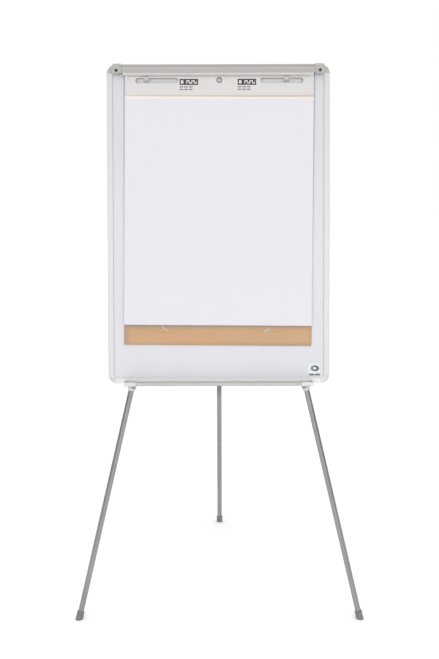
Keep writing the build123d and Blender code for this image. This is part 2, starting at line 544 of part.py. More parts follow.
# ---------------------------------------------------------------- put it together
def main():
    members = frame_members()
    head_fixings = head_screws()
    stop_fixings = stop_screws()
    tray_fixings = [screw(x, TRAY_SCREW_Z, -TRAY_WALL, 3.0, 1.6, 1.6, 5.0) for x in TRAY_SCREW_X]
    for fixing in head_fixings:
        members["frame_top"] -= fixing
    for fixing in stop_fixings + tray_fixings:
        members["frame_bottom"] -= fixing
    for name, shape in {**members, **panel_layers(), **pad_layers()}.items():
        save(name, BOARD * shape)

    top_left = corner_cap()
    middle = Plane.XY.offset(BOARD_H / 2)
    save("corner_cap_top_left", BOARD * top_left)
    save("corner_cap_top_right", BOARD * mirror(top_left, about=Plane.YZ))
    bottom_left = mirror(grooved(top_left), about=middle)
    save("corner_cap_bottom_left", BOARD * bottom_left)
    save("corner_cap_bottom_right", BOARD * mirror(bottom_left, about=Plane.YZ))

    tray = pen_tray()
    for fixing in tray_fixings:
        tray -= fixing
    save("pen_tray", BOARD * tray)
    save("tray_screws", *[BOARD * s for s in tray_fixings])
    cap_right, cap_left = both_sides(tray_end())
    save("tray_end_right", BOARD * cap_right)
    save("tray_end_left", BOARD * cap_left)

    save("hook_rail", BOARD * hook_rail())
    for side, x in HOOK_X.items():
        save(f"hook_{side}", BOARD * pad_hook(x))

    save("clamp_bar", BOARD * clamp_bar())
    save("clamp_grip", BOARD * clamp_grip())
    end_right, end_left = both_sides(clamp_end())
    save("clamp_end_right", BOARD * end_right)
    save("clamp_end_left", BOARD * end_left)
    pin = rod(CLAMP_PIN_R, (PIN_FROM, CLAMP_Y, CLAMP_Z), (PIN_TO, CLAMP_Y, CLAMP_Z))
    end_screw = screw(RECESS_X, RECESS_Z, RECESS_Y, 4.6, 1.6, END_SCREW_R, END_SCREW_TIP)
    save("clamp_pivot_blocks", *[BOARD * s for s in both_sides(clamp_block())])
    save("clamp_pivot_pins", *[BOARD * s for s in both_sides(pin)])
    save("clamp_springs", *[BOARD * s for s in both_sides(clamp_spring())])
    save("clamp_end_screws", *[BOARD * s for s in both_sides(end_screw)])

    head = tripod_head()
    for fixing in head_fixings:
        head -= fixing
    save("tripod_head", BOARD * head)
    save("head_screws", *[BOARD * s for s in head_fixings])
    save("front_pivot_bolts", *[BOARD * s for s in both_sides(front_pivot_bolt())])
    save("front_pivot_nuts", *[BOARD * s for s in both_sides(front_pivot_nut())])
    save("rear_pivot_pin", BOARD * rear_pivot_pin())
    stop_right, stop_left = both_sides(leg_stop())
    save("leg_stop_right", BOARD * stop_right)
    save("leg_stop_left", BOARD * stop_left)
    save("leg_stop_screws", *[BOARD * s for s in stop_fixings])

    x0, x1, z0, z1 = LABEL
    save("corner_label", BOARD * slab(x0, x1, GROOVE_FROM - LABEL_T, GROOVE_FROM, z0, z1))

    for name, (place, length, pivot_along, knob_turn) in LEGS.items():
        write_leg(name, place, length, pivot_along, knob_turn)


main()
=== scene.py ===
import bpy
import json
import random
from math import asin, cos, pi, radians, sin
from mathutils import Matrix, Vector

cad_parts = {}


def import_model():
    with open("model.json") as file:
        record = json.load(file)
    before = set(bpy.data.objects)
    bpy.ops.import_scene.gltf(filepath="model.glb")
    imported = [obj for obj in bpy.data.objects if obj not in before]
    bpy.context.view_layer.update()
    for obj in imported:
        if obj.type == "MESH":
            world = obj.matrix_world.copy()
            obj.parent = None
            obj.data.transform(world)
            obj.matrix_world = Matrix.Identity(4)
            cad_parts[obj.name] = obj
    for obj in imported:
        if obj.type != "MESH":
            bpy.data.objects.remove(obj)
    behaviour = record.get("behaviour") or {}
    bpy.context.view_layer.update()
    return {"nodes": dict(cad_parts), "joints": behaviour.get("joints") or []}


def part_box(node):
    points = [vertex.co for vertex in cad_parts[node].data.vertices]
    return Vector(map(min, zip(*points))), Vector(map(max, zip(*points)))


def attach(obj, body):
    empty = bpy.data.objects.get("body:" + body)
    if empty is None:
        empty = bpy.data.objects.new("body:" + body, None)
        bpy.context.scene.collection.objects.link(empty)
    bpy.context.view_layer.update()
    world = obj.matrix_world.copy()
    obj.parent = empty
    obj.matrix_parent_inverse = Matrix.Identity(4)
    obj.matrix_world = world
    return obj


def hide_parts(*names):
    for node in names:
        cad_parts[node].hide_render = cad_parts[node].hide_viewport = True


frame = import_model()

# Metres throughout.  "Board frame": x to the right, y = 0 on the front of the frame and growing to the
# back, z up along the board from its bottom edge.  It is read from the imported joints.
MM = 0.001
PRINT_EDGE = 0.4 * MM                      # softness of a printed edge
END_STEPS = 10                             # facets in the round end of a slot
JOINTS = {joint["name"]: joint for joint in frame["joints"]}
REAR_PIVOT = (0.0, 36 * MM, 930 * MM)      # of the rear leg, in the board frame
LEAN = asin(abs(JOINTS["front_left_leg_splay"]["axis"][2]))
ROTATION = Matrix.Rotation(-LEAN, 4, "X")
ORIGIN = Vector(JOINTS["rear_leg_swing"]["pos_m"]) - ROTATION @ Vector(REAR_PIVOT)
BOARD = Matrix.Translation(ORIGIN) @ ROTATION


# ---------------------------------------------------------------- node helpers
class Nodes:
    """A material's node tree with short calls for the nodes used here."""

    def __init__(self, name):
        self.material = bpy.data.materials.new(name)
        self.material.use_nodes = True
        self.tree = self.material.node_tree
        self.shader = self.tree.nodes["Principled BSDF"]

    def add(self, kind, **settings):
        node = self.tree.nodes.new(kind)
        for key, value in settings.items():
            setattr(node, key, value)
        return node

    def join(self, source, target):
        self.tree.links.new(source, target)

    def set(self, node, **inputs):
        for key, value in inputs.items():
            socket = node.inputs[key.replace("_", " ")]
            if isinstance(value, bpy.types.NodeSocket):
                self.join(value, socket)
            else:
                socket.default_value = value
        return node

    def place(self, scale=(1, 1, 1), board=False):
        """Object coordinates, turned into the board frame when board is true."""
        coordinates = self.add("ShaderNodeTexCoord").outputs["Object"]
        if board:
            upright = self.add("ShaderNodeMapping")
            self.join(coordinates, upright.inputs["Vector"])
            upright.inputs["Rotation"].default_value = (LEAN, 0, 0)
            upright.inputs["Location"].default_value = BOARD.inverted().translation
            coordinates = upright.outputs["Vector"]
        mapping = self.add("ShaderNodeMapping")
        self.join(coordinates, mapping.inputs["Vector"])
        mapping.inputs["Scale"].default_value = scale
        return mapping.outputs["Vector"]

    def noise(self, scale, detail=3.0, stretch=(1, 1, 1), board=False, roughness=0.5):
        node = self.add("ShaderNodeTexNoise")
        self.set(node, Vector=self.place(stretch, board), Scale=scale, Detail=detail, Roughness=roughness)
        return node.outputs["Fac"]

    def ramp(self, value, low, high, low_colour, high_colour):
        node = self.add("ShaderNodeValToRGB")
        self.join(value, node.inputs["Fac"])
        first, last = node.color_ramp.elements
        first.position, last.position = low, high
        first.color, last.color = (*low_colour, 1), (*high_colour, 1)
        return node.outputs["Color"]

    def mix(self, factor, a, b):
        node = self.add("ShaderNodeMix", data_type="RGBA")
        # With colours, its inputs 6 and 7 are mixed by input 0, to output 2.
        for socket, value in ((node.inputs[0], factor), (node.inputs[6], a), (node.inputs[7], b)):
            if isinstance(value, bpy.types.NodeSocket):
                self.join(value, socket)
            elif socket.type == "RGBA":
                socket.default_value = (*value, 1)
            else:
                socket.default_value = value
        return node.outputs[2]

    def math(self, operation, a, b=0.0, clamp=False):
        node = self.add("ShaderNodeMath", operation=operation, use_clamp=clamp)
        for socket, value in zip(node.inputs, (a, b)):
            if isinstance(value, bpy.types.NodeSocket):
                self.join(value, socket)
            else:
                socket.default_value = value
        return node.outputs[0]

    def split(self, vector):
        node = self.add("ShaderNodeSeparateXYZ")
        self.join(vector, node.inputs[0])
        return node.outputs

    def span(self, value, low, high, soft):
        """1 between low and high, with edges of width soft."""
        up = self.add("ShaderNodeMapRange", interpolation_type="SMOOTHSTEP")
        self.set(up, Value=value)
        up.inputs["From Min"].default_value, up.inputs["From Max"].default_value = low - soft, low + soft
        down = self.add("ShaderNodeMapRange", interpolation_type="SMOOTHSTEP")
        self.set(down, Value=value)
        down.inputs["From Min"].default_value = high + soft
        down.inputs["From Max"].default_value = high - soft
        return self.math("MULTIPLY", up.outputs[0], down.outputs[0])

    def patch(self, place, x, z):
        """1 inside a rectangle of the board's face, x and z being its limits in millimetres."""
        across = self.span(place[0], x[0] * MM, x[1] * MM, PRINT_EDGE)
        return self.math("MULTIPLY", across, self.span(place[2], z[0] * MM, z[1] * MM, PRINT_EDGE))

    def most(self, *masks):
        total = masks[0]
        for mask in masks[1:]:
            total = self.math("MAXIMUM", total, mask)
        return total

    def less(self, mask, hole):
        return self.math("SUBTRACT", mask, hole, clamp=True)

    def limit(self, value, low, high, out_low=0.0, out_high=1.0):
        node = self.add("ShaderNodeMapRange")
        self.set(node, Value=value)
        node.inputs["From Min"].default_value, node.inputs["From Max"].default_value = low, high
        node.inputs["To Min"].default_value, node.inputs["To Max"].default_value = out_low, out_high
        return node.outputs[0]

    def edges(self, radius):
        """1 along the outer and inner edges of the mesh, 0 on its open faces."""
        rounded = self.add("ShaderNodeBevel", samples=4)
        rounded.inputs["Radius"].default_value = radius
        normal = self.add("ShaderNodeNewGeometry").outputs["Normal"]
        dot = self.add("ShaderNodeVectorMath", operation="DOT_PRODUCT")
        self.join(rounded.outputs[0], dot.inputs[0])
        self.join(normal, dot.inputs[1])
        return self.limit(dot.outputs["Value"], 0.99, 0.8)

    def edges_worn_and_shaded(self, colour, tint, radius, amount, scale=120.0):
        """Colour with its edges moved towards a tint, more in some places than in others: rubbed wear on most
        parts, painted shade on the hook's dark edges.
        """
        patchy = self.limit(self.noise(scale, detail=4), 0.35, 0.65, 0.25, 1.0)
        rubbed = self.math("MULTIPLY", self.edges(radius), patchy)
        return self.mix(self.math("MULTIPLY", rubbed, amount), colour, tint)

    def distance(self, dx, dz):
        squares = self.math("ADD", self.math("MULTIPLY", dx, dx), self.math("MULTIPLY", dz, dz))
        return self.math("SQRT", squares)

    def from_slot(self, place, x, z, length, height):
        """Distance outside a slot with round ends; less than 0 within it."""
        along = self.math("ABSOLUTE", self.math("SUBTRACT", place[0], x))
        beyond = self.math("MAXIMUM", self.math("SUBTRACT", along, (length - height) / 2), 0.0)
        up = self.math("SUBTRACT", place[2], z)
        return self.math("SUBTRACT", self.distance(beyond, up), height / 2)

    def bump(self, height, strength, distance):
        previous = self.shader.inputs["Normal"]
        node = self.add("ShaderNodeBump")
        if previous.is_linked:
            self.join(previous.links[0].from_socket, node.inputs["Normal"])
        self.set(node, Height=height, Strength=strength, Distance=distance)
        self.join(node.outputs[0], previous)

    def colour(self, value):
        self.join(value, self.shader.inputs["Base Color"])

    def roughness(self, low, high, scale, **more):
        self.join(self.limit(self.noise(scale, **more), 0.3, 0.7, low, high), self.shader.inputs["Roughness"])


def shade(colour, factor):
    return tuple(min(1.0, c * factor) for c in colour)


# ---------------------------------------------------------------- materials
def anodised(name, colour, along="x", metallic=0.35, lines=(), bands=(), inside=None):
    """Satin anodised aluminium: fine draw lines along the extrusion, slow tone changes, rubbed edges.

    lines are (axis, low, high) in millimetres: darker lines that run the whole length, painted shade along
    the frame's inner edge where it meets the panel.
    bands are (low, high, factor) in z: strips of the section whose tone is multiplied, to stand in for
    light and shade. inside is (y, factor): the same for all that lies behind y.
    """
    n = Nodes(name)
    stretch = {"x": (0.6, 400, 400), "z": (400, 400, 0.6)}[along]
    drawn_lines = n.noise(1.0, detail=4, stretch=stretch, board=True)
    tone = n.noise(5.0, detail=2)
    base = n.ramp(drawn_lines, 0.3, 0.7, shade(colour, 0.95), shade(colour, 1.04))
    base = n.mix(n.math("MULTIPLY", tone, 0.25), base, shade(colour, 0.94))
    place = n.split(n.place(board=True))
    for axis, low, high in lines:
        along_line = n.math("ABSOLUTE", place[0]) if axis == "x" else place[2]
        groove_shade = n.span(along_line, low * MM, high * MM, 0.0006)
        base = n.mix(n.math("MULTIPLY", groove_shade, 0.8), base, shade(colour, 0.78))
    if inside:
        sunk = n.span(place[1], inside[0] * MM, 0.01, 0.0003)
        base = n.mix(sunk, base, shade(colour, inside[1]))
    for low, high, factor in bands:
        base = n.mix(n.span(place[2], low * MM, high * MM, 0.0005), base, shade(colour, factor))
    n.colour(n.edges_worn_and_shaded(base, shade(colour, 1.25), 0.0008, 0.6))
    n.shader.inputs["Metallic"].default_value = metallic
    n.roughness(0.32, 0.44, 30.0)
    n.bump(drawn_lines, 0.12, 0.00006)
    return n.material


def tube_finish(name, colour, shaded=None):
    """Silver lacquer on the leg tubes: metal flake, faint scuffs along the tube, rubbed ends.

    shaded is (low, high) in z: the tube darkens from low up to high, in place of the board's shadow on it.
    """
    n = Nodes(name)
    flake = n.noise(2600.0, detail=2)
    tone = n.noise(9.0, detail=3)
    scuff = n.noise(60.0, detail=5, stretch=(1, 1, 0.08))
    base = n.ramp(tone, 0.3, 0.7, shade(colour, 0.95), shade(colour, 1.05))
    base = n.mix(n.math("MULTIPLY", flake, 0.25), base, shade(colour, 1.25))
    scuffed = n.ramp(scuff, 0.60, 0.70, (0, 0, 0), (1, 1, 1))
    base = n.mix(n.math("MULTIPLY", scuffed, 0.22), base, shade(colour, 0.7))
    if shaded:
        base = n.mix(n.limit(n.split(n.place())[2], *shaded), base, shade(colour, 0.55))
    n.colour(n.edges_worn_and_shaded(base, shade(colour, 1.5), 0.001, 0.6))
    n.shader.inputs["Metallic"].default_value = 0.85
    n.roughness(0.24, 0.34, 40.0)
    n.bump(flake, 0.06, 0.00004)
    n.bump(scuff, 0.05, 0.0001)
    return n.material


def beside_pad(n):
    """Soft dark band on the panel each side of the pad, wider towards the top: painted shadow, not dirt."""
    x, _, z = n.split(n.place(board=True))
    shift = n.math("MULTIPLY", n.math("SUBTRACT", z, HANG_Z * MM), SKEW)
    middle = n.math("ADD", shift, (PAD_X[0] + PAD_X[1]) / 2)
    away = n.math("SUBTRACT", n.math("ABSOLUTE", n.math("SUBTRACT", x, middle)), (PAD_X[1] - PAD_X[0]) / 2)
    foot, head = 0.12, 0.97
    reach = n.limit(z, foot, head, 2.2 * MM, 7.0 * MM)
    fading = n.limit(n.math("DIVIDE", away, reach), 1.0, 0.35)
    band = n.math("MULTIPLY", fading, n.span(away, -2.5 * MM, 0.1, 0.0005))
    height = n.span(z, PAD_BOTTOM, PAD_TOP, 0.006)
    return n.math("MULTIPLY", n.math("MULTIPLY", band, height), n.limit(z, foot, head, 0.45, 0.8))


def enamel(name, colour, shaded=False):
    """Baked enamel on steel: slight orange peel, traces of wiped pen in long soft streaks."""
    n = Nodes(name)
    wiped = n.noise(10.0, detail=4, stretch=(1, 1, 0.35), board=True)
    trace = n.noise(55.0, detail=5, stretch=(0.12, 1, 1), board=True, roughness=0.6)
    base = n.ramp(wiped, 0.35, 0.8, colour, shade(colour, 0.985))
    base = n.mix(n.math("MULTIPLY", n.limit(trace, 0.58, 0.75), 0.03), base, shade(colour, 0.85))
    if shaded:
        base = n.mix(beside_pad(n), base, shade(colour, 0.55))
    n.colour(n.edges_worn_and_shaded(base, shade(colour, 0.8), 0.0006, 0.5))
    n.roughness(0.29, 0.34, 10.0, stretch=(1, 1, 0.3))
    n.shader.inputs["Coat Weight"].default_value = 0.25
    n.shader.inputs["Coat Roughness"].default_value = 0.12
    n.bump(n.noise(260.0, detail=2), 0.05, 0.0002)
    return n.material


def plastic(name, colour, rough=(0.4, 0.52), grain=0.12, mottle=0.05, edge_wear_and_shade=1.3):
    """Moulded plastic: spark-eroded grain, flow marks, and edges tinted by the edge factor: rubbed smooth and
    lighter above 1, darker below 1; the hook's dark edges are painted shade.
    """
    n = Nodes(name)
    flow = n.noise(35.0, detail=3, stretch=(1, 1, 2))
    spots = n.noise(260.0, detail=3)
    base = n.ramp(flow, 0.3, 0.75, shade(colour, 1 - mottle), shade(colour, 1 + mottle))
    base = n.mix(n.math("MULTIPLY", n.limit(spots, 0.5, 0.7), mottle * 2), base, shade(colour, 0.75))
    n.colour(n.edges_worn_and_shaded(base, shade(colour, edge_wear_and_shade), 0.0009, 0.6))
    n.roughness(*rough, 120.0)
    n.bump(n.noise(900.0, detail=3), grain, 0.0002)
    return n.material


def powder_coat(name, colour):
    """Powder coat over steel: orange peel, and bare chips along the edges."""
    n = Nodes(name)
    base = n.ramp(n.noise(20.0), 0.3, 0.7, shade(colour, 0.94), shade(colour, 1.05))
    n.colour(n.edges_worn_and_shaded(base, (0.45, 0.45, 0.45), 0.0008, 0.55, scale=400.0))
    n.roughness(0.42, 0.55, 90.0)
    n.bump(n.noise(700.0, detail=3), 0.2, 0.0003)
    return n.material


def zinc(name, colour):
    """Zinc plate: bright, a little cloudy, dull in the recesses."""
    n = Nodes(name)
    cloud = n.noise(160.0, detail=4)
    base = n.ramp(cloud, 0.3, 0.7, shade(colour, 0.82), shade(colour, 1.1))
    n.colour(n.edges_worn_and_shaded(base, shade(colour, 0.6), 0.0005, 0.5))
    n.shader.inputs["Metallic"].default_value = 0.9
    n.roughness(0.25, 0.42, 300.0)
    n.bump(cloud, 0.05, 0.0001)
    return n.material


def rubber(name, colour):
    """Dark moulded rubber with dusty bloom, paler where the rim is scuffed."""
    n = Nodes(name)
    dust = n.noise(90.0, detail=6, roughness=0.7)
    base = n.ramp(dust, 0.35, 0.85, colour, shade(colour, 1.6))
    n.colour(n.edges_worn_and_shaded(base, shade(colour, 2.2), 0.0012, 0.7))
    n.roughness(0.62, 0.85, 60.0)
    n.bump(n.noise(1400.0, detail=3), 0.25, 0.0003)
    return n.material


def fibreboard(name, colour):
    """Sawn edge of the panel's core: short felted fibres."""
    n = Nodes(name)
    fibre = n.noise(500.0, detail=5, stretch=(1, 1, 0.4))
    n.colour(n.ramp(fibre, 0.3, 0.7, shade(colour, 0.75), shade(colour, 1.15)))
    n.roughness(0.85, 0.95, 80.0)
    n.bump(fibre, 0.4, 0.0004)
    return n.material


def paper_base(n, colour):
    """Uncoated stock: fine fibre, slow cloudiness, grey cut edges."""
    fibre = n.noise(900.0, detail=4, board=True)
    cloud = n.noise(6.0, detail=2, board=True)
    tone = n.ramp(fibre, 0.3, 0.7, shade(colour, 0.985), shade(colour, 1.01))
    tone = n.mix(n.math("MULTIPLY", cloud, 0.12), tone, shade(colour, 0.96))
    n.roughness(0.78, 0.88, 300.0)
    n.shader.inputs["Specular IOR Level"].default_value = 0.25
    n.bump(fibre, 0.10, 0.0001)
    return n.mix(n.math("MULTIPLY", n.edges(0.0004), 0.5), tone, shade(colour, 0.82))


def sheet_paper(name, colour):
    """Pad sheet: plain stock with a cream band just under the header."""
    n = Nodes(name)
    base = paper_base(n, colour)
    place = n.split(n.place(board=True))
    glued = n.span(place[2], HEADER_BOTTOM - 0.006, 1.0, 0.005)
    n.colour(n.mix(n.math("MULTIPLY", glued, 0.8), base, (0.84, 0.77, 0.72)))
    return n.material


def header_card(name, colour):
    """Header strip: paper with a warm taped lower edge and generic printed boxes, with no lettering.

    The dark rims of the holes and the line under the clamp's grip are painted shadow.
    """
    n = Nodes(name)
    base = paper_base(n, colour)
    place = n.split(n.place(board=True))
    warm = n.limit(place[2], 0.920, HEADER_BOTTOM)
    base = n.mix(n.math("MULTIPLY", warm, 0.55), base, (0.70, 0.60, 0.51))
    tape = n.span(place[2], HEADER_BOTTOM - 0.001, HEADER_BOTTOM + 0.0042, 0.0008)
    base = n.mix(n.math("MULTIPLY", tape, 0.85), base, (0.54, 0.47, 0.42))
    # Each guide is an outlined box with a bar and four stepped marks in it, over two rows of grey dashes.
    dark, grey = [], []
    for left, right in GUIDES:
        outer = n.patch(place, (left, right), (936.6, 955.4))
        inner = n.patch(place, (left + 4.0, right - 4.0), (940.8, 951.2))
        dark.append(n.less(outer, inner))
        dark.append(n.patch(place, (left + 12.0, left + 20.5), (938, 954)))
        for k in range(4):
            x, z = left + 23.5 + 8.0 * k, 938 + 7.0 * (k % 2)
            dark.append(n.patch(place, (x, x + 5.6), (z, z + 9.0)))
        for row in (930.6, 923.0):
            for k in range(3):
                x = left + 14.5 * k
                grey.append(n.patch(place, (x, x + 11.5), (row - 1.9, row + 1.9)))
    for x, z, length, height in HOLES:
        far = n.from_slot(place, x, z, length, height)
        rim = n.span(far, -1.0, (1.3 if length > height else 2.2) * MM, 0.0007)
        outer_end = n.limit(n.math("ABSOLUTE", n.math("SUBTRACT", place[0], HOLES_X)), 0.248, 0.256)
        high = n.most(n.limit(place[2], z - height / 2, z + height / 2, 0.25, 0.9), outer_end)
        dark.append(n.math("MULTIPLY", rim, high if length > height else 0.9))
    base = n.mix(n.math("MULTIPLY", n.most(*grey), 0.9), base, (0.17, 0.16, 0.155))
    under_grip = n.patch(place, (-285.0, 288.0), (962.2, 965.4))
    base = n.mix(n.math("MULTIPLY", under_grip, 0.42), base, (0.25, 0.24, 0.23))
    n.colour(n.mix(n.math("MULTIPLY", n.most(*dark), 0.95), base, (0.035, 0.033, 0.031)))
    return n.material


def kraft(name, colour):
    """Grey-brown backing board: long fibres, dark and light flecks, greyer towards its edges."""
    n = Nodes(name)
    fibre = n.noise(420.0, detail=6, stretch=(0.35, 1, 1), board=True, roughness=0.65)
    fleck = n.noise(1500.0, detail=2, stretch=(0.3, 1, 1), board=True)
    streak = n.noise(16.0, detail=3, stretch=(0.15, 1, 1), board=True)
    base = n.ramp(fibre, 0.3, 0.72, shade(colour, 0.92), shade(colour, 1.07))
    base = n.mix(n.math("MULTIPLY", n.limit(streak, 0.35, 0.7), 0.5), base, (0.60, 0.385, 0.235))
    base = n.mix(n.ramp(fleck, 0.66, 0.74, (0, 0, 0), (0.5, 0.5, 0.5)), base, shade(colour, 0.55))
    base = n.mix(n.ramp(fleck, 0.26, 0.32, (0.35, 0.35, 0.35), (0, 0, 0)), base, shade(colour, 1.4))
    place = n.split(n.place(board=True))
    x_in = n.span(place[0], PAD_X[0] + 0.010, PAD_X[1] - 0.010, 0.010)
    z_in = n.span(place[2], PAD_BOTTOM + 0.008, SHEET_BOTTOM - 0.010, 0.008)
    grey = (colour[0] * 0.82, colour[1] * 0.90, colour[2] * 1.10)
    base = n.mix(n.math("MULTIPLY", x_in, z_in), grey, base)
    for x, z, radius in TAB_ARCS:
        dx, dz = n.math("SUBTRACT", place[0], x * MM), n.math("SUBTRACT", place[2], z * MM)
        far = n.distance(dx, dz)
        low = n.span(place[0], (x - 0.55 * radius) * MM, (x + 0.55 * radius) * MM, 0.004)
        crease = n.span(far, radius * MM - 0.0008, radius * MM + 0.0008, 0.0006)
        crease = n.math("MULTIPLY", crease, n.math("MULTIPLY", low, n.span(place[2], 0.1, z * MM, 0.002)))
        # Each pressed arc is painted darker along its crease: painted shade, with a bump.
        base = n.mix(n.math("MULTIPLY", crease, 0.35), base, shade(colour, 0.65))
        n.bump(crease, 0.4, -0.0004)
    n.colour(n.edges_worn_and_shaded(base, shade(colour, 0.7), 0.0006, 0.7, scale=500.0))
    n.roughness(0.84, 0.93, 200.0)
    n.shader.inputs["Specular IOR Level"].default_value = 0.2
    n.bump(fibre, 0.3, 0.0003)
    return n.material


def label_film(name, colour):
    """Pale film with a plain two-colour ring over two short printed bars."""
    n = Nodes(name)
    place = n.split(n.place(board=True))
    dx = n.math("DIVIDE", n.math("SUBTRACT", place[0], RING_MIDDLE[0]), RING_RADII[0])
    dz = n.math("DIVIDE", n.math("SUBTRACT", place[2], RING_MIDDLE[1]), RING_RADII[1])
    far = n.distance(dx, dz)
    ring = n.span(far, 0.40, 1.05, 0.08)
    ink = n.mix(n.span(place[0], 0.3035, 0.4, 0.003), (0.10, 0.165, 0.13), (0.010, 0.030, 0.050))
    left = n.patch(place, (286.0, 302.0), (23.4, 29.6))
    right = n.patch(place, (304.0, 320.5), (23.4, 29.6))
    halo = n.limit(far, 1.0, 2.0)
    film = n.mix(n.math("MULTIPLY", halo, 0.6), colour, (0.72, 0.74, 0.76))
    film = n.mix(n.math("MULTIPLY", ring, 0.93), film, ink)
    n.colour(n.mix(n.math("MULTIPLY", n.most(left, right), 0.9), film, (0.045, 0.05, 0.055)))
    n.roughness(0.25, 0.35, 60.0)
    n.bump(n.noise(500.0, detail=2), 0.03, 0.0001)
    return n.material


PAD_X = (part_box("pad_sheets")[0].x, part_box("pad_sheets")[1].x)
HANG_Z, SKEW = 664.0, 0.0087               # the pad hangs askew: turned about this height, mm, by this angle
PAD_BOTTOM, SHEET_BOTTOM, HEADER_BOTTOM, PAD_TOP = 120 * MM, 183 * MM, 900.5 * MM, 970.5 * MM
SLOT = (950.3 * MM, 131 * MM, 13.6 * MM)     # z, length and height of the two hanging slots
HOLES_X = 3.5 * MM                           # middle of the punched holes
HOLES = (                                    # x, z, length and height of everything punched in the pad
    (-192 * MM, *SLOT), (199 * MM, *SLOT), (HOLES_X, 951.8 * MM, 14 * MM, 14 * MM),
)
GUIDES = ((-121.0, -62.8), (61.0, 118.8))    # left and right edges of the header's printed boxes, mm
TAB_ARCS = ((-165.5, 300.0, 140.0), (157.0, 300.0, 140.0))  # x, z and radius of the pressed arcs, mm
RING_MIDDLE, RING_RADII = (0.304, 0.0465), (0.0128, 0.0090)  # x and z of the label's ring, in metres

FRAME_GREY = (0.625, 0.625, 0.625)
# Dark lines on the frame members along their inner edges: painted shade where the frame meets the panel.
UPRIGHT_LINES = (("x", 331.0, 333.4),)
TOP_LINES = (("z", 981.0, 983.4),)
BOTTOM_LINES = (("z", 16.4, 18.9),)
CLAMP_BANDS = ((988.2, 1010.0, 0.94), (983.6, 987.4, 1.41))
MATERIALS = {
    "frame_upright": anodised(
        "frame_extrusion_upright", FRAME_GREY, "z", metallic=0.15, lines=UPRIGHT_LINES
    ),
    "frame_top": anodised("frame_extrusion_top", FRAME_GREY, metallic=0.15, lines=TOP_LINES),
    # The bottom member is the same extrusion painted 1.1 times lighter: painted light.
    "frame_bottom": anodised(
        "frame_extrusion_bottom", shade(FRAME_GREY, 1.1), metallic=0.15, lines=BOTTOM_LINES
    ),
    "clamp": anodised("clamp_extrusion", (0.395, 0.376, 0.366), bands=CLAMP_BANDS),
    "tray": anodised("tray_extrusion", (0.435, 0.435, 0.43), inside=(-31.8, 1.28)),
    "tube": tube_finish("leg_tube_lacquer", (0.30, 0.30, 0.303)),
    "rear_tube": tube_finish("rear_tube_lacquer", (0.30, 0.30, 0.303), shaded=(0.572, 0.63)),
    "enamel": enamel("white_enamel_face", (0.63, 0.63, 0.662), shaded=True),
    "back": enamel("grey_back_lacquer", (0.42, 0.43, 0.44)),
    "bracket": powder_coat("bracket_powder_coat", (0.16, 0.16, 0.165)),
    "zinc": zinc("zinc_plated_steel", (0.62, 0.62, 0.62)),
    "core": fibreboard("panel_fibreboard", (0.34, 0.22, 0.12)),
    "cap_top": plastic("grey_corner_plastic", (0.46, 0.46, 0.445), mottle=0.08),
    "cap_bottom": plastic("pale_corner_plastic", (0.66, 0.66, 0.655), mottle=0.08, edge_wear_and_shade=1.15),
    "clamp_end": plastic("clamp_end_plastic", (0.43, 0.43, 0.415), mottle=0.12),
    "collar": plastic("pale_gloss_plastic", (0.64, 0.64, 0.64), rough=(0.18, 0.28), grain=0.03, edge_wear_and_shade=1.1),
    # The hook's edges are painted dark: painted contact shadow along its edges.
    "hook": plastic("hook_plastic", (0.50, 0.50, 0.50), rough=(0.3, 0.4), edge_wear_and_shade=0.35),
    "grip": plastic("soft_white_grip", (0.59, 0.578, 0.565), rough=(0.5, 0.65), edge_wear_and_shade=0.9),
    "knob": plastic("dark_grey_plastic", (0.32, 0.32, 0.323)),
    "black": plastic("black_plastic", (0.030, 0.030, 0.032)),
    "rubber": rubber("foot_rubber", (0.160, 0.160, 0.163)),
    "paper": sheet_paper("pad_sheet_paper", (0.718, 0.710, 0.742)),
    "header": header_card("pad_header_card", (0.668, 0.650, 0.640)),
    "kraft": kraft("pad_kraft_board", (0.552, 0.344, 0.195)),
    "label": label_film("label_film", (0.695, 0.72, 0.765)),
}


def finish_of(node):
    """The finish that a CAD node takes."""
    if node in ("frame_left", "frame_right"):
        return "frame_upright"
    if node in ("frame_top", "frame_bottom"):
        return node
    if node.startswith("corner_cap_top"):
        return "cap_top"
    if node == "rear_inner_tube":
        return "rear_tube"
    if node.startswith("corner_cap_bottom"):
        return "cap_bottom"
    endings = {
        "_outer_tube": "tube", "_inner_tube": "tube", "_collar": "collar", "_top_plug": "black",
        "_guide_bush": "black", "_thumb_screw": "knob", "_rubber_foot": "rubber",
    }
    for ending, finish in endings.items():
        if node.endswith(ending):
            return finish
    return {
        "hook_rail": "tray", "writing_panel": "enamel", "panel_core": "core", "back_sheet": "back",
        "pen_tray": "tray", "tray_end_left": "collar", "tray_end_right": "collar",
        "clamp_bar": "clamp", "clamp_grip": "grip",
        "clamp_end_left": "clamp_end", "clamp_end_right": "clamp_end", "clamp_end_screws": "black",
        "clamp_pivot_blocks": "cap_top", "tripod_head": "bracket", "leg_stop_left": "bracket",
        "leg_stop_right": "bracket", "hook_left": "hook", "hook_right": "hook", "pad_sheets": "paper",
        "pad_binding": "header", "pad_backing_board": "kraft", "corner_label": "label",
    }.get(node, "zinc")


for name, node in frame["nodes"].items():
    material = MATERIALS[finish_of(name)]
    for slot_index in range(len(node.material_slots)):
        node.material_slots[slot_index].material = material


# ---------------------------------------------------------------- mesh helpers
def piece(name, mesh, finish, body, replaced):
    """A new piece of the pad, built in the board frame and hung askew, that stands for a CAD node."""
    mesh.transform(BOARD @ ASKEW)
    mesh.materials.clear()
    mesh.materials.append(MATERIALS[finish])
    for polygon in mesh.polygons:
        polygon.use_smooth = True
    mesh.set_sharp_from_angle(angle=radians(30))
    made = bpy.data.objects.new(name, mesh)
    bpy.context.scene.collection.objects.link(made)
    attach(made, body)
    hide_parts(replaced)


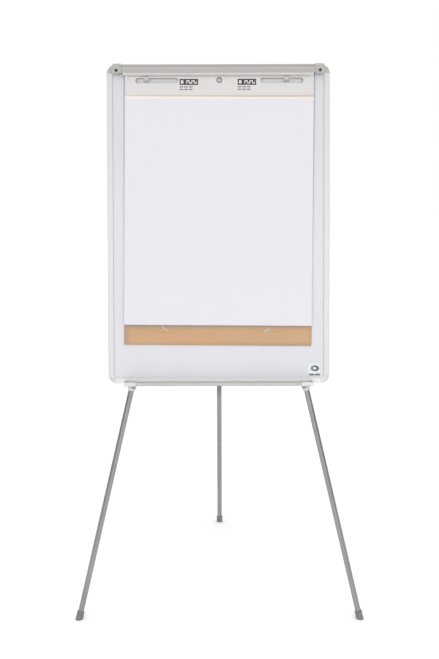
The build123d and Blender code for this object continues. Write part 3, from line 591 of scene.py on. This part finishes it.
def solid_sheet(name, front, thickness, columns, rows):
    """Closed thin sheet over a grid; front(u, v) gives a point of its front face."""
    mesh = bpy.data.meshes.new(name)
    grid = [front(i / columns, j / rows) for j in range(rows + 1) for i in range(columns + 1)]
    back = [(x, y + thickness, z) for x, y, z in grid]
    width, count = columns + 1, len(grid)
    faces = []
    for j in range(rows):
        for i in range(columns):
            a, b = j * width + i, j * width + i + 1
            faces.append((a, b, b + width, a + width))
            faces.append((count + a + width, count + b + width, count + b, count + a))
    rim = list(range(width)) + [j * width + columns for j in range(1, rows + 1)]
    rim += [rows * width + i for i in range(columns - 1, -1, -1)]
    rim += [j * width for j in range(rows - 1, 0, -1)]
    for a, b in zip(rim, rim[1:] + rim[:1]):
        faces.append((b, a, count + a, count + b))
    mesh.from_pydata(grid + back, [], faces)
    mesh.validate()
    return mesh


def prism(outline, y0, y1):
    """Closed prism over an outline of (x, z) points that runs anticlockwise as seen from the front."""
    mesh = bpy.data.meshes.new("prism")
    count = len(outline)
    corners = [(x, y0, z) for x, z in outline] + [(x, y1, z) for x, z in outline]
    faces = [tuple(range(count)), tuple(range(2 * count - 1, count - 1, -1))]
    faces += [((i + 1) % count, i, count + i, count + (i + 1) % count) for i in range(count)]
    mesh.from_pydata(corners, [], faces)
    return mesh


def stadium(x, z, length, height, turn=0.0):
    """Outline of a slot with round ends, turned about its middle."""
    half, radius = length / 2 - height / 2, height / 2
    points = []
    for end in (1, -1):
        for k in range(END_STEPS + 1):
            angle = -pi / 2 + pi * k / END_STEPS + (0 if end > 0 else pi)
            px, pz = end * half + radius * cos(angle), radius * sin(angle)
            points.append((x + px * cos(turn) - pz * sin(turn), z + px * sin(turn) + pz * cos(turn)))
    return points


def carved(mesh, tools):
    """The mesh with prisms cut out of it."""
    base = bpy.data.objects.new("carving", mesh)
    bpy.context.scene.collection.objects.link(base)
    helpers = [base]
    for tool in tools:
        helper = bpy.data.objects.new("tool", tool)
        bpy.context.scene.collection.objects.link(helper)
        cut = base.modifiers.new("cut", "BOOLEAN")
        cut.operation, cut.solver, cut.object = "DIFFERENCE", "EXACT", helper
        helpers.append(helper)
    result = bpy.data.meshes.new_from_object(base.evaluated_get(bpy.context.evaluated_depsgraph_get()))
    for helper in helpers:
        bpy.data.objects.remove(helper)
    return result


# ---------------------------------------------------------------- paper pad
CUT_REACH = 20 * MM                          # of the cutting prisms, to the front and to the back
HANG = Matrix.Translation((0.0, 0.0, HANG_Z * MM))
ASKEW = HANG @ Matrix.Rotation(SKEW, 4, "Y") @ HANG.inverted()
LEAVES = 7
LEAF_T, LEAF_PITCH = 0.26 * MM, 0.35 * MM
LIFT, LIFTED_PART = 3.6 * MM, 0.30           # of the front sheet: how far, and over how much of its height
HEADER_T, CREASE_UP = 0.28 * MM, 5 * MM      # the crease runs this far above the header's lower edge
BACKING_T, BACKING_CORNER = 1.0 * MM, 3 * MM
SLIT_SIZE = (26 * MM, 4 * MM)
SLITS = ((-165.5, 171, -32), (157, 169, 28))  # x and z in mm, and the turn in degrees
SHEETS_FRONT, HEADER_FRONT = -2.5 * MM, -3.1 * MM


def punches():
    """The two hanging slots and the round middle hole: they stay level with the hooks as the pad skews."""
    tools = [prism(stadium(*hole), -CUT_REACH, CUT_REACH) for hole in HOLES]
    for tool in tools:
        tool.transform(ASKEW.inverted())
    return tools


def pad_leaves():
    """Sheets that hang one behind the other; the front ones lift a little from the board at the bottom."""
    chance = random.Random(5)
    for index in range(LEAVES):
        shift, low = chance.uniform(-0.5, 0.5) * MM, SHEET_BOTTOM + chance.uniform(0, 1.2) * MM
        lift = LIFT * ((LEAVES - 1 - index) / (LEAVES - 1)) ** 2
        front_y = SHEETS_FRONT + index * LEAF_PITCH

        def front(u, v, shift=shift, low=low, lift=lift, front_y=front_y):
            curl = max(0.0, (LIFTED_PART - v) / LIFTED_PART) ** 2.2
            sides = 0.75 + 0.25 * abs(2 * u - 1) ** 3
            x = PAD_X[0] + shift + u * (PAD_X[1] - PAD_X[0])
            wave = 0.06 * lift * sin(9.0 * u + 2.0) * curl
            return x, front_y - lift * curl * sides - wave, low + v * (PAD_TOP - low)

        mesh = carved(solid_sheet("leaf", front, LEAF_T, columns=24, rows=60), punches())
        piece(f"pad_leaf_{index + 1}", mesh, "paper", "board", "pad_sheets")


def pad_header():
    """Card strip over the top of the sheets, pressed thinner along its taped lower edge."""
    def front(u, v):
        x = PAD_X[0] + u * (PAD_X[1] - PAD_X[0])
        z = HEADER_BOTTOM + v * (PAD_TOP - HEADER_BOTTOM)
        crease = max(0.0, 1 - abs(z - HEADER_BOTTOM - CREASE_UP) / (0.9 * MM))
        taper = max(0.0, 1 - (z - HEADER_BOTTOM) / (1.5 * MM))
        return x, HEADER_FRONT + 0.12 * MM * crease + 0.3 * MM * taper, z

    mesh = carved(solid_sheet("header", front, HEADER_T, columns=12, rows=148), punches())
    piece("pad_header_strip", mesh, "header", "board", "pad_binding")


def pad_back():
    """Backing board with slightly rounded lower corners and two slanting slits."""
    def front(u, v):
        z = PAD_BOTTOM + v * (PAD_TOP - PAD_BOTTOM)
        rounding = BACKING_CORNER - min(BACKING_CORNER, z - PAD_BOTTOM)
        inset = BACKING_CORNER - (BACKING_CORNER * BACKING_CORNER - rounding * rounding) ** 0.5
        x = PAD_X[0] + inset + u * (PAD_X[1] - PAD_X[0] - 2 * inset)
        return x, 0.0, z

    slits = [stadium(x * MM, z * MM, *SLIT_SIZE, radians(turn)) for x, z, turn in SLITS]
    tools = punches() + [prism(outline, -CUT_REACH, CUT_REACH) for outline in slits]
    mesh = carved(solid_sheet("backing", front, BACKING_T, columns=8, rows=852), tools)
    piece("pad_backing", mesh, "kraft", "board", "pad_backing_board")


# ---------------------------------------------------------------- camera, light and floor
LENS, SENSOR = 43.70, 36.0
EYE = (0.0052, -2.7114, 1.4331)
PAN, TILT, ROLL = 0.069, -11.531, -0.149     # degrees; level and straight ahead is 0, 0, 0


def camera():
    data = bpy.data.cameras.new("camera")
    data.lens, data.sensor_width = LENS, SENSOR
    data.clip_end = 50
    lens = bpy.data.objects.new("camera", data)
    bpy.context.scene.collection.objects.link(lens)
    turn = Matrix.Rotation(radians(PAN), 4, "Z") @ Matrix.Rotation(radians(90 + TILT), 4, "X")
    turn = turn @ Matrix.Rotation(radians(ROLL), 4, "Z")
    lens.matrix_world = Matrix.Translation(EYE) @ turn
    bpy.context.scene.camera = lens


def area_light(name, place, aim, size, power):
    data = bpy.data.lights.new(name, "AREA")
    data.shape, data.size, data.size_y = "RECTANGLE", size[0], size[1]
    data.energy = power
    light = bpy.data.objects.new(name, data)
    bpy.context.scene.collection.objects.link(light)
    light.location = place
    light.rotation_euler = (Vector(aim) - Vector(place)).to_track_quat("-Z", "Y").to_euler()


SIDE_LIGHT, FRONT_LIGHT, TOP_LIGHT = 0.27, 0.60, 1.60  # strengths of the dome; the first is all round


def world():
    """White all round for the camera.  Its light is a soft dome: bright overhead and in front, dim behind."""
    made = bpy.data.worlds.new("studio")
    bpy.context.scene.world = made
    made.use_nodes = True
    tree = made.node_tree
    tree.nodes.clear()
    out = tree.nodes.new("ShaderNodeOutputWorld")
    path = tree.nodes.new("ShaderNodeLightPath")
    both = tree.nodes.new("ShaderNodeMixShader")
    seen, lit = tree.nodes.new("ShaderNodeBackground"), tree.nodes.new("ShaderNodeBackground")
    seen.inputs["Color"].default_value, seen.inputs["Strength"].default_value = (1, 1, 1, 1), 1.0
    where = tree.nodes.new("ShaderNodeTexCoord")
    apart = tree.nodes.new("ShaderNodeSeparateXYZ")
    tree.links.new(where.outputs["Generated"], apart.inputs[0])

    def math(operation, a, b):
        node = tree.nodes.new("ShaderNodeMath")
        node.operation = operation
        for socket, value in zip(node.inputs, (a, b)):
            if isinstance(value, bpy.types.NodeSocket):
                tree.links.new(value, socket)
            else:
                socket.default_value = value
        return node.outputs[0]

    ahead = math("MAXIMUM", math("MULTIPLY", apart.outputs["Y"], -1.0), 0.0)
    front = math("MULTIPLY", math("POWER", ahead, 4.0), FRONT_LIGHT)
    above = math("MULTIPLY", math("MAXIMUM", apart.outputs["Z"], 0.0), TOP_LIGHT)
    strength = math("ADD", math("ADD", front, above), SIDE_LIGHT)
    tree.links.new(strength, lit.inputs["Strength"])
    tree.links.new(path.outputs["Is Camera Ray"], both.inputs[0])
    tree.links.new(lit.outputs[0], both.inputs[1])
    tree.links.new(seen.outputs[0], both.inputs[2])
    tree.links.new(both.outputs[0], out.inputs[0])


def floor():
    mesh = bpy.data.meshes.new("studio_floor")
    reach = 14.0
    corners = [(-reach, -reach, 0), (reach, -reach, 0), (reach, reach, 0), (-reach, reach, 0)]
    mesh.from_pydata(corners, [], [(0, 1, 2, 3)])
    n = Nodes("studio_floor_white")
    n.colour(n.ramp(n.noise(3.0), 0.3, 0.7, (0.965, 0.965, 0.965), (0.975, 0.975, 0.975)))
    n.shader.inputs["Roughness"].default_value = 0.95
    n.shader.inputs["Specular IOR Level"].default_value = 0.0
    mesh.materials.append(n.material)
    made = bpy.data.objects.new("studio_floor", mesh)
    bpy.context.scene.collection.objects.link(made)


camera()
world()
floor()
area_light("softbox", place=(0.2, -4.6, 1.9), aim=(0.0, 0.0, 0.7), size=(3.0, 2.0), power=36)
bpy.context.scene.view_settings.view_transform = "Standard"
pad_leaves()
pad_header()
pad_back()
